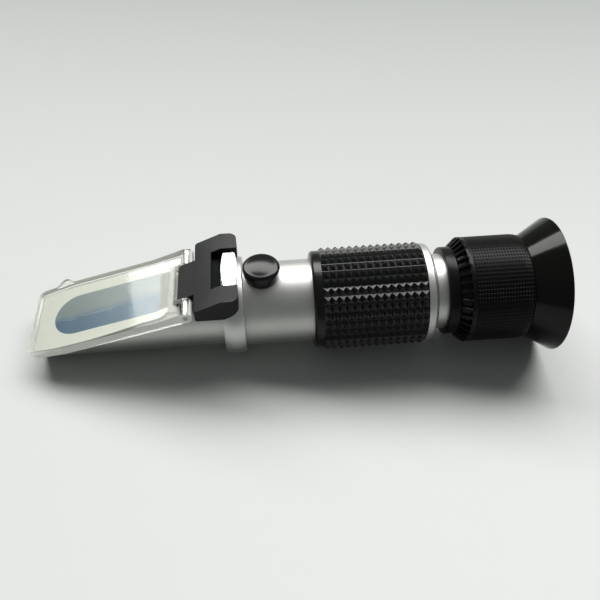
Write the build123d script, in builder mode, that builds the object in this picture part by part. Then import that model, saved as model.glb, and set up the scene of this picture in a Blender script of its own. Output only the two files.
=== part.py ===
from build123d import *
import os
from math import asin, atan2, cos, pi, radians, sin, sqrt, tan

os.makedirs("parts", exist_ok=True)

# A handheld sugar refractometer, lying with its clear cover plate up.
# The optical axis is X, from the prism end (-X) to the eye (+X). Z is up.
# The origin is on the optical axis, in the middle of the bare stretch of the tube.
# All sizes are in millimetres: x_ is a station along the axis, z_ a height above it, r_ a radius.

# Gaps between fixed pieces, and how far a cutting shape runs past what it cuts
slip = 0.05
snug = 0.02
overrun = 1.0
through = 40.0

# Tube and prism box
r_tube = 12.36
r_tube_bore = 11.16
r_box = 11.6
x_box_front = -71.7
x_tube_front = -12.45
x_tube_rear = 44.2
x_spigot_rear = -8.9
r_neck_bore = 9.6
x_neck_front = -23.0
r_window = 5.9

# Sloping measuring face, its prism and the cream bed round it
slope = 15.5
face_height_at_origin = 16.39
x_bed_front = -69.8
x_bed_rear = -31.4
x_prism_front = -66.8
x_prism_rear = -34.0
prism_half_width = 7.5
z_prism_foot = -6.0
x_prism_heel = -60.5
z_prism_heel = -7.4
cement_gap = 0.25
bed_half_width = 10.2
bed_depth = 2.4
bed_corner = 3.0
seal_depth = 0.4
seal_half_width = 7.1
bed_rim = 1.3
z_hinge_seat = 7.5

# Small facet under the nose, flush with the table when the eyecup rim stands on it
facet_cut = 0.32

# Crowned ring that clamps the prism box to the tube
x_ring_front = -16.2
x_ring_rear = -10.1
r_ring_edge = 14.15
r_ring_crown = 14.7
x_boss_front = -16.15
x_boss_rear = -11.2
boss_half_width = 6.9
boss_end_inset = 0.75
z_boss = 15.5

# Hinge bracket, its two screws and the hinge pin
x_bracket_front = -28.8
x_bracket_step = -23.8
x_bracket_break = -16.0
x_bracket_rear = -11.3
z_bracket_front = 10.7
z_bracket_step = 13.0
z_bracket_top = 16.55
z_bracket_side = 9.3
bracket_front_half_width = 6.75
bracket_half_width = 13.7
bracket_corner = 2.3
bracket_front_corner = 0.8
x_bracket_foot = -15.5
z_bracket_foot = 11.6
x_recess = -18.8
recess_half_width = 7.4
z_recess_floor = 13.3
x_bracket_screw = -20.9
bracket_screw_spread = 3.4
r_bracket_screw = 1.0
r_bracket_screw_head = 1.9
z_bracket_screw_foot = 6.7
z_bracket_screw_seat = 7.95
z_bracket_screw_tip = 13.1
x_pin = -26.5
z_pin = 10.0
r_pin = 0.75
pin_half_length = 12.4
pin_play = 0.06
pin_chamfer = 0.15

# Clear cover plate
cover_gap = 0.1
cover_plate = 1.8
cover_skirt = 1.0
cover_wall = 1.15
cover_half_width = 13.05
cover_front_half_width = 11.9
x_cover_front = -73.0
x_cover_taper = -62.0
x_cover_notch = -29.8
cover_notch_half_width = 6.9
cover_corner = 2.5
x_cover_ramp = -37.0
r_cover_eye = 2.0
eye_tangent = 110.0
x_tab_front = -68.8
x_tab_rear = -61.4
tab_reach = 15.0
tab_thickness = 1.5
tab_front_slant = 2.8
tab_rear_slant = 3.6

# Calibration: rubber cap, captive screw, and the guided carriage that it moves
x_screw = -4.5
r_bush = 3.2
z_bush_foot = 10.5
z_bush_top = 13.4
r_screw_head = 2.05
r_screw_neck = 1.25
r_screw_thread = 1.0
z_screw_tip = 5.9
z_screw_neck = 9.7
z_screw_head = 12.25
z_screw_top = 13.7
screw_slot = 0.5
screw_slot_depth = 0.6
r_clip = 2.3
z_clip = 10.05
clip_thickness = 0.35
screw_head_gap = 0.1
r_cap = 5.05
r_cap_shoulder = 5.45
r_cap_top = 4.6
z_cap_shoulder = 15.3
z_cap_edge = 16.2
z_cap_top = 16.5
cap_round = 0.9
z_cap_cavity = 14.9
cap_play = 0.08
cap_saddle_gap = 0.15
x_guide_front = -8.6
x_guide_rear = -0.6
guide_half_width = 7.0
guide_half_height = 8.3
r_guide_clearance = 3.5
carrier_top = 7.8
carrier_foot = -7.3
r_carrier_light = 5.3
x_shelf_rear = 3.5
z_shelf_foot = 5.6
z_strip = 6.6
strip_thickness = 0.5
strip_half_width = 2.8
x_strip_front = -0.4
x_strip_rear = 15.3
x_strip_screws = (1.6, 13.9)
r_strip_screw = 0.55
r_strip_screw_head = 1.1
strip_screw_head = 0.5
z_strip_screw_tip = 5.8
x_cell_front = 10.0
x_cell_rear = 15.6
r_cell = 6.1
r_objective = 5.5
objective_edge = 1.6
objective_bulge = 0.8
x_objective_ring = 14.8
r_objective_seat = 5.0
objective_lip = 1.2
lens_play = 0.02

# Stop, scale disc and their rings
x_stop = -14.0
stop_thickness = 1.1
r_stop_hole = 4.5
x_reticle_mount = 22.0
x_reticle_seat = 24.0
x_reticle_mount_rear = 27.0
r_reticle = 8.25
r_reticle_view = 6.5
reticle_thickness = 1.2

# Rubber grip on the tube
x_grip_front = 10.0
x_grip_rear = 43.0
x_grip_pattern = 12.8
r_grip_band = 14.6
grip_round = 2.1
r_grip_core = 14.3
r_pyramid_root = 14.1
r_pyramid_foot = 14.65
r_pyramid_tip = 15.45
pyramid_rows = 36
pyramids_in_row = 14

# Fixed part of the eyepiece
x_end_ring_edge = 43.9
x_end_ring_rear = 45.9
r_end_ring = 14.9
r_end_ring_rear = 12.5
end_ring_round = 3.0
x_eyepiece_tube_front = 36.0
x_eyepiece_tube_rear = 62.5
r_eyepiece_tube = 11.35
r_eyepiece_bore = 10.2
x_seal = 46.2
r_seal_cord = 0.28
x_key = 40.5
r_key = 0.9
r_key_foot = 9.2
z_key_top = 11.0

# Sliding ocular barrel and its lenses
x_barrel_front = 34.5
x_barrel_rear = 69.5
r_barrel = 10.13
r_barrel_front_bore = 8.6
r_barrel_stop = 7.6
x_lens_stop_front = 53.5
x_lens_stop = 55.0
r_lens_bore = 9.0
x_flange_front = 66.95
x_flange_rear = 68.35
r_flange = 12.6
key_slot_front = 36.4
key_slot_rear = 44.6
key_slot_width = 1.9
field_lens_edge = 1.6
field_lens_bulge = 1.1
x_spacer_rear = 62.8
eye_lens_edge = 1.8
eye_lens_bulge = 1.3
x_lens_ring_rear = 67.8
r_lens_ring_view = 7.6

# Turning focus ring, its rubber and the eyecup
x_focus_front = 49.5
x_teeth_front = 52.5
x_tooth_gap = 52.6
x_teeth_rear = 54.4
x_bevel_rear = 55.2
x_band_rear = 56.4
x_core_rear = 73.0
x_web_front = 65.5
x_web_rear = 66.9
r_web = 10.4
r_focus_lip = 13.3
focus_chamfer = 0.4
r_teeth_front = 13.5
r_teeth_rear = 15.3
r_band = 16.0
r_core = 14.3
r_focus_bore = 11.42
r_focus_cup = 12.7
teeth = 36
tooth_gap = 1.6
tooth_depth = 0.7
x_retainer_front = 68.4
x_retainer_rear = 70.2
r_retainer_view = 10.9
x_sleeve_rear = 73.7
x_sleeve_round = 70.8
r_sleeve = 15.9
r_sleeve_rear = 14.85
sleeve_round = 4.5
x_eyecup_front = 70.4
r_eyecup_bore = 11.6
r_cone = 14.8
x_bell_throat = 74.0
x_bell = 74.9
r_bell = 13.5
x_rim = 83.0
r_rim = 20.6
rim_wall = 1.1
rim_bevel = 0.3


def face_z(x):
    """Height of the measuring face above the axis at station x."""
    return face_height_at_origin + x * tan(radians(slope))


def sloping(offset=0.0):
    """Plane parallel to the measuring face, offset outwards, with its X uphill to the eyepiece."""
    start = (-offset * sin(radians(slope)), 0, face_height_at_origin + offset * cos(radians(slope)))
    uphill = (cos(radians(slope)), 0, sin(radians(slope)))
    outward = (-sin(radians(slope)), 0, cos(radians(slope)))
    return Plane(origin=start, x_dir=uphill, z_dir=outward)


def along(x, offset=0.0):
    """Distance along a sloping plane to station x."""
    return (x + offset * sin(radians(slope))) / cos(radians(slope))


def side_shape(*points):
    """Closed straight-sided shape in the plane of symmetry, as (x, z) points."""
    with BuildSketch(Plane.XZ) as shape:
        with BuildLine():
            Polyline(*points, close=True)
        make_face()
    return shape.sketch


def ring(x_from, x_to, r_in, r_out):
    """Half section of a plain ring about the optical axis."""
    return side_shape((x_from, r_in), (x_to, r_in), (x_to, r_out), (x_from, r_out))


def upright(x, *points):
    """Half section of a piece turned about a vertical axis at station x, as (radius, z) points."""
    with BuildSketch(Plane(origin=(x, 0, 0), x_dir=(1, 0, 0), z_dir=(0, -1, 0))) as shape:
        with BuildLine():
            Polyline(*points, close=True)
        make_face()
    return shape.sketch


def rounds_at(places, radius, z):
    """Circles on a level plane, at (x, y) places."""
    with BuildSketch(Plane.XY.offset(z)) as shape:
        with Locations(*places):
            Circle(radius)
    return shape.sketch


def face_patch(x_from, x_to, half_width, offset=0.0, corner=0.0):
    """Rectangle on a sloping plane between two stations, with rounded corners if wanted."""
    u_from = along(x_from, offset)
    u_to = along(x_to, offset)
    with BuildSketch(sloping(offset)) as shape:
        with Locations(((u_from + u_to) / 2, 0)):
            Rectangle(u_to - u_from, 2 * half_width)
        if corner:
            fillet(shape.vertices(), corner)
    return shape.sketch


def tongue(x_tip, x_end, half_width):
    """Tongue with a half-round tip on the measuring face."""
    u_centre = along(x_tip) + half_width
    u_end = along(x_end)
    with BuildSketch(sloping()) as shape:
        with Locations((u_centre, 0)):
            Circle(half_width)
        with Locations(((u_centre + u_end) / 2, 0)):
            Rectangle(u_end - u_centre, 2 * half_width)
    return shape.sketch


def prism_side(grow):
    """Side view of the prism, grown by the cement gap in front and below."""
    return side_shape(
        (x_prism_front - grow, face_z(x_prism_front - grow)),
        (x_prism_rear, face_z(x_prism_rear)),
        (x_prism_rear, z_prism_foot - grow),
        (x_prism_heel - grow, z_prism_heel - grow),
    )


def cover_outline(inset):
    """Plan of the cover on the plane of its skirt's lower edge, drawn in by the inset."""
    level = cover_gap - cover_skirt
    u_front = along(x_cover_front, level) + inset
    u_taper = along(x_cover_taper, level)
    u_rear = along(x_pin, level)
    front = cover_front_half_width - inset
    wide = cover_half_width - inset
    with BuildSketch(sloping(level)) as shape:
        with BuildLine():
            Polyline(
                (u_front, -front),
                (u_taper, -wide),
                (u_rear, -wide),
                (u_rear, wide),
                (u_taper, wide),
                (u_front, front),
                close=True,
            )
        make_face()
        fillet(shape.vertices().group_by(Axis.X)[0], cover_corner - inset)
    return shape.sketch


def lens_face(x_edge, bulge, radius):
    """Arc of a lens face from the axis to the rim, standing out from the rim by the bulge."""
    sphere = (radius**2 + bulge**2) / (2 * abs(bulge))
    half_angle = asin(radius / sphere) / 2
    sagitta = sphere * (1 - cos(half_angle)) * bulge / abs(bulge)
    ThreePointArc(
        (x_edge + bulge, 0), (x_edge + bulge - sagitta, sphere * sin(half_angle)), (x_edge, radius)
    )


def lens_rise(r_seat, radius, bulge):
    """How far a lens face stands out from its rim where a seat of radius r_seat meets it."""
    sphere = (radius**2 + bulge**2) / (2 * bulge)
    return bulge - sphere + sqrt(sphere**2 - r_seat**2)


def lens(x_centre, radius, edge, bulge):
    """Half section of a lens with two rounded faces and a flat rim."""
    x_front = x_centre - edge / 2
    x_rear = x_centre + edge / 2
    with BuildSketch(Plane.XZ) as shape:
        with BuildLine():
            Line((x_front - bulge, 0), (x_rear + bulge, 0))
            lens_face(x_rear, bulge, radius)
            Line((x_rear, radius), (x_front, radius))
            lens_face(x_front, -bulge, radius)
        make_face()
    return shape.sketch


# Lens seats: each lens rests on the edge of the stop in front of it
r_lens = r_lens_bore - lens_play
objective_rise = lens_rise(r_objective_seat, r_objective, objective_bulge)
field_rise = lens_rise(r_barrel_stop, r_lens, field_lens_bulge)
eye_rise = lens_rise(r_barrel_stop, r_lens, eye_lens_bulge)
x_objective_seat = x_cell_front + objective_lip
x_objective = x_objective_seat + objective_rise + objective_edge / 2
x_field_lens = x_lens_stop + field_rise + field_lens_edge / 2
x_eye_lens = x_spacer_rear + eye_rise + eye_lens_edge / 2
screw_pair = ((x_bracket_screw, -bracket_screw_spread), (x_bracket_screw, bracket_screw_spread))
strip_pair = ((x_strip_screws[0], 0), (x_strip_screws[1], 0))

# Prism: a sloping measuring face, an upright exit face and a tongue-shaped plan
with BuildPart() as main_prism:
    extrude(prism_side(0), prism_half_width, both=True)
    extrude(tongue(x_prism_front, x_prism_rear, prism_half_width), -through, mode=Mode.INTERSECT)
main_prism.part.label = "main_prism"
export_step(main_prism.part, "parts/main_prism.step")

with BuildPart() as prism_pocket:
    extrude(prism_side(cement_gap), prism_half_width + cement_gap, both=True)
    extrude(
        tongue(x_prism_front - cement_gap, x_prism_rear, prism_half_width + cement_gap),
        -through,
        mode=Mode.INTERSECT,
    )

# Prism box: casting cut open just under the sloping face, with a neck and a spigot into the tube
rim_drop = bed_rim / cos(radians(slope))
table_pitch = atan2(r_rim - (r_box - facet_cut), x_rim - x_box_front)
nose_facet = Plane(
    origin=(x_box_front, 0, -(r_box - facet_cut)),
    x_dir=(cos(table_pitch), 0, -sin(table_pitch)),
    z_dir=(-sin(table_pitch), 0, -cos(table_pitch)),
)
with BuildPart() as prism_box:
    revolve(ring(x_box_front, x_ring_front, 0, r_box), Axis.X)
    revolve(ring(x_ring_front, x_tube_front, 0, r_tube), Axis.X)
    revolve(ring(x_tube_front, x_spigot_rear, 0, r_tube_bore - slip), Axis.X)
    extrude(
        side_shape(
            (x_box_front - overrun, face_z(x_box_front - overrun) - rim_drop),
            (x_bed_rear, face_z(x_bed_rear) - rim_drop),
            (x_bed_rear, z_hinge_seat),
            (x_bracket_step, z_hinge_seat),
            (x_bracket_step, r_tube + overrun),
            (x_box_front - overrun, r_tube + overrun),
        ),
        r_tube + overrun,
        both=True,
        mode=Mode.SUBTRACT,
    )
    extrude(
        face_patch(x_bed_front, x_bed_rear, bed_half_width, corner=bed_corner),
        -bed_depth,
        mode=Mode.SUBTRACT,
    )
    add(prism_pocket.part, mode=Mode.SUBTRACT)
    revolve(ring(x_prism_rear, x_neck_front, 0, r_window), Axis.X, mode=Mode.SUBTRACT)
    revolve(ring(x_neck_front, x_spigot_rear, 0, r_neck_bore), Axis.X, mode=Mode.SUBTRACT)
    extrude(
        rounds_at(screw_pair, r_bracket_screw + slip, z_bracket_screw_foot), through, mode=Mode.SUBTRACT
    )
    with BuildSketch(nose_facet) as facet:
        Rectangle(through, through)
    extrude(facet.sketch, overrun, mode=Mode.SUBTRACT)
prism_box.part.label = "prism_box"
export_step(prism_box.part, "parts/prism_box.step")

# Cream bed round the prism: it fills the pocket and covers the rim of the box, flush with the measuring face
with BuildPart() as prism_bed:
    extrude(
        side_shape(
            (x_box_front, face_z(x_box_front)),
            (x_bed_rear, face_z(x_bed_rear)),
            (x_bed_rear, face_z(x_bed_rear) - rim_drop),
            (x_box_front, face_z(x_box_front) - rim_drop),
        ),
        r_box,
        both=True,
    )
    revolve(ring(x_box_front, x_bed_rear, 0, r_box), Axis.X, mode=Mode.INTERSECT)
    extrude(cover_outline(cover_wall + cover_gap), through, both=True, mode=Mode.INTERSECT)
    extrude(face_patch(x_bed_front, x_bed_rear, bed_half_width, corner=bed_corner), -bed_depth)
    add(main_prism.part, mode=Mode.SUBTRACT)
    extrude(
        tongue(x_prism_front, x_prism_rear, prism_half_width), -bed_depth - overrun, mode=Mode.SUBTRACT
    )
    revolve(ring(x_prism_rear, x_bed_rear + bed_depth, 0, r_window), Axis.X, mode=Mode.SUBTRACT)
    extrude(
        face_patch(x_prism_rear, x_bed_rear + overrun, seal_half_width), -seal_depth, mode=Mode.SUBTRACT
    )
prism_bed.part.label = "prism_bed"
export_step(prism_bed.part, "parts/prism_bed.step")

# Black sealing strip across the rear edge of the prism
with BuildPart() as prism_seal:
    extrude(face_patch(x_prism_rear, x_bed_rear, seal_half_width), -seal_depth)
prism_seal.part.label = "prism_seal"
export_step(prism_seal.part, "parts/prism_seal.step")

# Crowned clamp ring over the joint of box and tube, with a flat boss on top between the bracket's arms
with BuildPart() as coupling_ring:
    with BuildSketch(Plane.XZ):
        with BuildLine():
            Line((x_ring_front, r_tube + slip), (x_ring_front, r_ring_edge))
            ThreePointArc(
                (x_ring_front, r_ring_edge),
                ((x_ring_front + x_ring_rear) / 2, r_ring_crown),
                (x_ring_rear, r_ring_edge),
            )
            Line((x_ring_rear, r_ring_edge), (x_ring_rear, r_tube + slip))
            Line((x_ring_rear, r_tube + slip), (x_ring_front, r_tube + slip))
        make_face()
    revolve(axis=Axis.X)
    with BuildSketch(Plane.XY.offset(z_boss)):
        with BuildLine():
            front_near = (x_boss_front + boss_end_inset, -boss_half_width)
            front_far = (x_boss_front + boss_end_inset, boss_half_width)
            rear_far = (x_boss_rear - boss_end_inset, boss_half_width)
            rear_near = (x_boss_rear - boss_end_inset, -boss_half_width)
            ThreePointArc(front_near, (x_boss_front, 0), front_far)
            Line(front_far, rear_far)
            ThreePointArc(rear_far, (x_boss_rear, 0), rear_near)
            Line(rear_near, front_near)
        make_face()
    extrude(amount=-z_boss)
    revolve(ring(x_ring_front, x_ring_rear, 0, r_tube + slip), Axis.X, mode=Mode.SUBTRACT)
coupling_ring.part.label = "coupling_ring"
export_step(coupling_ring.part, "parts/coupling_ring.step")

# Black hinge bracket: saddle over neck and ring, with a tongue that carries the pin
x_recess_rear = x_bracket_rear + overrun
with BuildPart() as hinge_bracket:
    extrude(
        side_shape(
            (x_bracket_step, z_bracket_side),
            (x_bracket_step, z_bracket_step),
            (x_bracket_break, z_bracket_top),
            (x_bracket_rear, z_bracket_top),
            (x_bracket_rear, z_bracket_foot),
            (x_bracket_foot, z_bracket_side),
        ),
        bracket_half_width,
        both=True,
    )
    front_and_rear = hinge_bracket.edges().filter_by(Axis.Z).group_by(Axis.X)
    fillet(front_and_rear[0], bracket_front_corner)
    fillet(front_and_rear[-1], bracket_corner)
    extrude(
        side_shape(
            (x_bracket_front, z_hinge_seat),
            (x_bracket_front, z_bracket_front),
            (x_bracket_step, z_bracket_step),
            (x_bracket_step + overrun, z_bracket_step),
            (x_bracket_step + overrun, z_hinge_seat),
        ),
        bracket_front_half_width,
        both=True,
    )
    with BuildSketch(Plane.XY.offset(z_recess_floor)):
        with Locations(((x_recess + x_recess_rear) / 2, 0)):
            Rectangle(x_recess_rear - x_recess, 2 * recess_half_width)
    extrude(amount=through, mode=Mode.SUBTRACT)
    with BuildSketch(Plane.XY.offset(z_bracket_side)):
        with Locations(((x_ring_front + x_recess_rear) / 2, 0)):
            Rectangle(x_recess_rear - x_ring_front, 2 * recess_half_width)
    extrude(amount=through, mode=Mode.SUBTRACT)
    revolve(ring(x_bracket_step, x_ring_front, 0, r_box + slip), Axis.X, mode=Mode.SUBTRACT)
    revolve(ring(x_ring_front, x_ring_rear, 0, r_ring_crown + slip), Axis.X, mode=Mode.SUBTRACT)
    with BuildSketch(Plane.XZ):
        with Locations((x_pin, z_pin)):
            Circle(r_pin + snug)
    extrude(amount=bracket_half_width, both=True, mode=Mode.SUBTRACT)
    extrude(
        rounds_at(screw_pair, r_bracket_screw, z_bracket_screw_seat),
        z_bracket_screw_tip - z_bracket_screw_seat,
        mode=Mode.SUBTRACT,
    )
hinge_bracket.part.label = "hinge_bracket"
export_step(hinge_bracket.part, "parts/hinge_bracket.step")

# Two screws that hold the bracket, put in from inside the neck
with BuildPart() as bracket_screws:
    extrude(
        rounds_at(screw_pair, r_bracket_screw, z_bracket_screw_seat - slip),
        z_bracket_screw_tip - z_bracket_screw_seat,
    )
    extrude(
        rounds_at(screw_pair, r_bracket_screw_head, z_bracket_screw_foot),
        z_bracket_screw_seat - z_bracket_screw_foot - slip,
    )
    with BuildSketch(Plane.XY.offset(z_bracket_screw_foot)):
        with Locations(*screw_pair):
            Rectangle(screw_slot, 2 * r_bracket_screw_head)
    extrude(amount=screw_slot_depth, mode=Mode.SUBTRACT)
bracket_screws.part.label = "bracket_screws"
export_step(bracket_screws.part, "parts/bracket_screws.step")

# Steel hinge pin, pressed in the bracket
with BuildPart() as hinge_pin:
    with BuildSketch(Plane.XZ):
        with Locations((x_pin, z_pin)):
            Circle(r_pin)
    extrude(amount=pin_half_length, both=True)
    chamfer(hinge_pin.edges(), pin_chamfer)
hinge_pin.part.label = "hinge_pin"
export_step(hinge_pin.part, "parts/hinge_pin.step")

# Clear cover plate: shallow tray with two hinge eyes and a finger tab
cover_top = cover_gap + cover_plate
top_rise = cover_top / cos(radians(slope))
x_eye_tangent = x_pin + r_cover_eye * cos(radians(eye_tangent))
z_eye_tangent = z_pin + r_cover_eye * sin(radians(eye_tangent))
with BuildPart() as daylight_plate:
    extrude(cover_outline(0), cover_skirt + cover_plate)
    extrude(cover_outline(cover_wall), cover_skirt, mode=Mode.SUBTRACT)
    with BuildSketch(Plane.XZ):
        with Locations((x_pin, z_pin)):
            Circle(r_cover_eye)
        with BuildLine():
            Polyline(
                (x_cover_ramp, face_z(x_cover_ramp) + top_rise),
                (x_eye_tangent, z_eye_tangent),
                (x_pin, z_pin),
                (x_cover_ramp, face_z(x_cover_ramp) + 2 * cover_gap),
                close=True,
            )
        make_face()
    extrude(amount=cover_half_width, both=True)
    with BuildSketch(Plane.XY):
        with Locations(((x_cover_notch + x_bracket_step) / 2, 0)):
            Rectangle(x_bracket_step - x_cover_notch, 2 * cover_notch_half_width)
    extrude(amount=through, mode=Mode.SUBTRACT)
    with BuildSketch(Plane.XZ):
        with Locations((x_pin, z_pin)):
            Circle(r_pin + pin_play)
    extrude(amount=cover_half_width + overrun, both=True, mode=Mode.SUBTRACT)
    with BuildSketch(sloping(cover_top - tab_thickness)):
        u_from = along(x_tab_front, cover_top)
        u_to = along(x_tab_rear, cover_top)
        with BuildLine():
            Polyline(
                (u_from, cover_front_half_width),
                (u_from + tab_front_slant, tab_reach),
                (u_to - tab_rear_slant, tab_reach),
                (u_to, cover_front_half_width),
                close=True,
            )
        make_face()
    extrude(amount=tab_thickness)
daylight_plate.part.label = "daylight_plate"
export_step(daylight_plate.part, "parts/daylight_plate.step")

# Main tube with the hole for the calibration bush
with BuildPart() as main_tube:
    revolve(ring(x_tube_front, x_tube_rear, r_tube_bore, r_tube), Axis.X)
    extrude(rounds_at([(x_screw, 0)], r_bush + snug, r_tube_bore - overrun), through, mode=Mode.SUBTRACT)
main_tube.part.label = "main_tube"
export_step(main_tube.part, "parts/main_tube.step")

# Black stop disc in the neck
with BuildPart() as field_stop:
    revolve(ring(x_stop, x_stop + stop_thickness, r_stop_hole, r_neck_bore - slip), Axis.X)
field_stop.part.label = "field_stop"
export_step(field_stop.part, "parts/field_stop.step")

# Calibration bush, screw, its snap ring and the rubber cap over them
with BuildPart() as calibration_bush:
    revolve(
        upright(
            x_screw,
            (r_screw_neck + slip, z_bush_foot),
            (r_bush, z_bush_foot),
            (r_bush, z_bush_top),
            (r_screw_head + screw_head_gap, z_bush_top),
            (r_screw_head + screw_head_gap, z_screw_head - slip),
            (r_screw_neck + slip, z_screw_head - slip),
        ),
        Axis((x_screw, 0, 0), (0, 0, 1)),
    )
calibration_bush.part.label = "calibration_bush"
export_step(calibration_bush.part, "parts/calibration_bush.step")

with BuildPart() as calibration_screw:
    revolve(
        upright(
            x_screw,
            (0, z_screw_tip),
            (r_screw_thread, z_screw_tip),
            (r_screw_thread, z_screw_neck),
            (r_screw_neck, z_screw_neck),
            (r_screw_neck, z_screw_head),
            (r_screw_head, z_screw_head),
            (r_screw_head, z_screw_top),
            (0, z_screw_top),
        ),
        Axis((x_screw, 0, 0), (0, 0, 1)),
    )
    with BuildSketch(Plane.XY.offset(z_screw_top)):
        with Locations((x_screw, 0)):
            Rectangle(screw_slot, 2 * r_screw_head + overrun)
    extrude(amount=-screw_slot_depth, mode=Mode.SUBTRACT)
calibration_screw.part.label = "calibration_screw"
export_step(calibration_screw.part, "parts/calibration_screw.step")

with BuildPart() as screw_clip:
    extrude(rounds_at([(x_screw, 0)], r_clip, z_clip), clip_thickness)
    extrude(rounds_at([(x_screw, 0)], r_screw_neck, z_clip), clip_thickness, mode=Mode.SUBTRACT)
screw_clip.part.label = "screw_clip"
export_step(screw_clip.part, "parts/screw_clip.step")

cap_dome_rise = z_cap_top - z_cap_edge
r_cap_dome = (r_cap_top**2 + cap_dome_rise**2) / (2 * cap_dome_rise)
with BuildPart() as calibration_cap:
    with BuildSketch(Plane(origin=(x_screw, 0, 0), x_dir=(1, 0, 0), z_dir=(0, -1, 0))):
        with BuildLine():
            Polyline(
                (0, z_cap_top),
                (0, z_bush_foot),
                (r_cap, z_bush_foot),
                (r_cap, z_bush_top),
                (r_cap_shoulder, z_cap_shoulder),
            )
            RadiusArc((r_cap_shoulder, z_cap_shoulder), (r_cap_top, z_cap_edge), -cap_round)
            RadiusArc((r_cap_top, z_cap_edge), (0, z_cap_top), -r_cap_dome)
        make_face()
    revolve(axis=Axis((x_screw, 0, 0), (0, 0, 1)))
    extrude(
        rounds_at([(x_screw, 0)], r_bush + cap_play, z_bush_foot),
        z_cap_cavity - z_bush_foot,
        mode=Mode.SUBTRACT,
    )
    revolve(
        ring(x_screw - r_cap - overrun, x_screw + r_cap + overrun, 0, r_tube + cap_saddle_gap),
        Axis.X,
        mode=Mode.SUBTRACT,
    )
calibration_cap.part.label = "calibration_cap"
export_step(calibration_cap.part, "parts/calibration_cap.step")

# Guide ring with an upright slot, and the nut block that slides in it
with BuildPart() as carrier_guide:
    revolve(ring(x_guide_front, x_guide_rear, 0, r_tube_bore - slip), Axis.X)
    with BuildSketch(Plane.YZ.offset(x_guide_front)):
        Rectangle(2 * guide_half_width, 2 * guide_half_height)
    extrude(amount=x_guide_rear - x_guide_front, mode=Mode.SUBTRACT)
    extrude(
        rounds_at([(x_screw, 0)], r_guide_clearance, guide_half_height - overrun),
        through,
        mode=Mode.SUBTRACT,
    )
carrier_guide.part.label = "carrier_guide"
export_step(carrier_guide.part, "parts/carrier_guide.step")

with BuildPart() as objective_carrier:
    with BuildSketch(Plane.YZ.offset(x_guide_front)):
        with Locations((0, (carrier_top + carrier_foot) / 2)):
            Rectangle(2 * (guide_half_width - slip), carrier_top - carrier_foot)
        Circle(r_carrier_light, mode=Mode.SUBTRACT)
    extrude(amount=x_guide_rear - x_guide_front)
    with BuildSketch(Plane.XY.offset(z_shelf_foot)):
        with Locations(((x_guide_rear + x_shelf_rear) / 2, 0)):
            Rectangle(x_shelf_rear - x_guide_rear, 2 * strip_half_width)
    extrude(amount=z_strip - z_shelf_foot)
    extrude(rounds_at([(x_screw, 0)], r_screw_thread + slip, 0), through, mode=Mode.SUBTRACT)
    extrude(rounds_at(strip_pair, r_strip_screw, z_strip_screw_tip), through, mode=Mode.SUBTRACT)
objective_carrier.part.label = "objective_carrier"
export_step(objective_carrier.part, "parts/objective_carrier.step")

# Temperature strip, which carries the objective cell at its free end
with BuildPart() as bimetal_strip:
    with BuildSketch(Plane.XY.offset(z_strip)):
        with Locations(((x_strip_front + x_strip_rear) / 2, 0)):
            Rectangle(x_strip_rear - x_strip_front, 2 * strip_half_width)
        with Locations(*strip_pair):
            Circle(r_strip_screw, mode=Mode.SUBTRACT)
    extrude(amount=strip_thickness)
bimetal_strip.part.label = "bimetal_strip"
export_step(bimetal_strip.part, "parts/bimetal_strip.step")

with BuildPart() as strip_screws:
    extrude(
        rounds_at(strip_pair, r_strip_screw, z_strip_screw_tip),
        z_strip + strip_thickness - z_strip_screw_tip,
    )
    extrude(rounds_at(strip_pair, r_strip_screw_head, z_strip + strip_thickness), strip_screw_head)
strip_screws.part.label = "strip_screws"
export_step(strip_screws.part, "parts/strip_screws.step")

with BuildPart() as objective_cell:
    revolve(ring(x_cell_front, x_cell_rear, 0, r_cell), Axis.X)
    with BuildSketch(Plane.XY.offset(z_shelf_foot - overrun)):
        with Locations(((x_cell_front + x_cell_rear) / 2, 0)):
            Rectangle(x_cell_rear - x_cell_front, 2 * strip_half_width)
    extrude(amount=z_strip - z_shelf_foot + overrun)
    revolve(ring(x_cell_front, x_cell_rear, 0, r_objective_seat), Axis.X, mode=Mode.SUBTRACT)
    revolve(
        ring(x_objective_seat, x_cell_rear, 0, r_objective + lens_play), Axis.X, mode=Mode.SUBTRACT
    )
    extrude(rounds_at(strip_pair, r_strip_screw, z_strip_screw_tip), through, mode=Mode.SUBTRACT)
objective_cell.part.label = "objective_cell"
export_step(objective_cell.part, "parts/objective_cell.step")

with BuildPart() as objective_lens:
    revolve(lens(x_objective, r_objective, objective_edge, objective_bulge), Axis.X)
objective_lens.part.label = "objective_lens"
export_step(objective_lens.part, "parts/objective_lens.step")

with BuildPart() as objective_ring:
    x_ring_seat = x_objective + objective_edge / 2 + objective_rise
    revolve(ring(x_ring_seat, x_objective_ring, r_objective_seat, r_objective), Axis.X)
objective_ring.part.label = "objective_ring"
export_step(objective_ring.part, "parts/objective_ring.step")

# Scale disc between its seat and its threaded ring
with BuildPart() as reticle_mount:
    revolve(
        side_shape(
            (x_reticle_mount, r_reticle_view),
            (x_reticle_seat, r_reticle_view),
            (x_reticle_seat, r_reticle + slip),
            (x_reticle_mount_rear, r_reticle + slip),
            (x_reticle_mount_rear, r_tube_bore - slip),
            (x_reticle_mount, r_tube_bore - slip),
        ),
        Axis.X,
    )
reticle_mount.part.label = "reticle_mount"
export_step(reticle_mount.part, "parts/reticle_mount.step")

with BuildPart() as reticle:
    revolve(ring(x_reticle_seat, x_reticle_seat + reticle_thickness, 0, r_reticle), Axis.X)
reticle.part.label = "reticle"
export_step(reticle.part, "parts/reticle.step")

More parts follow.
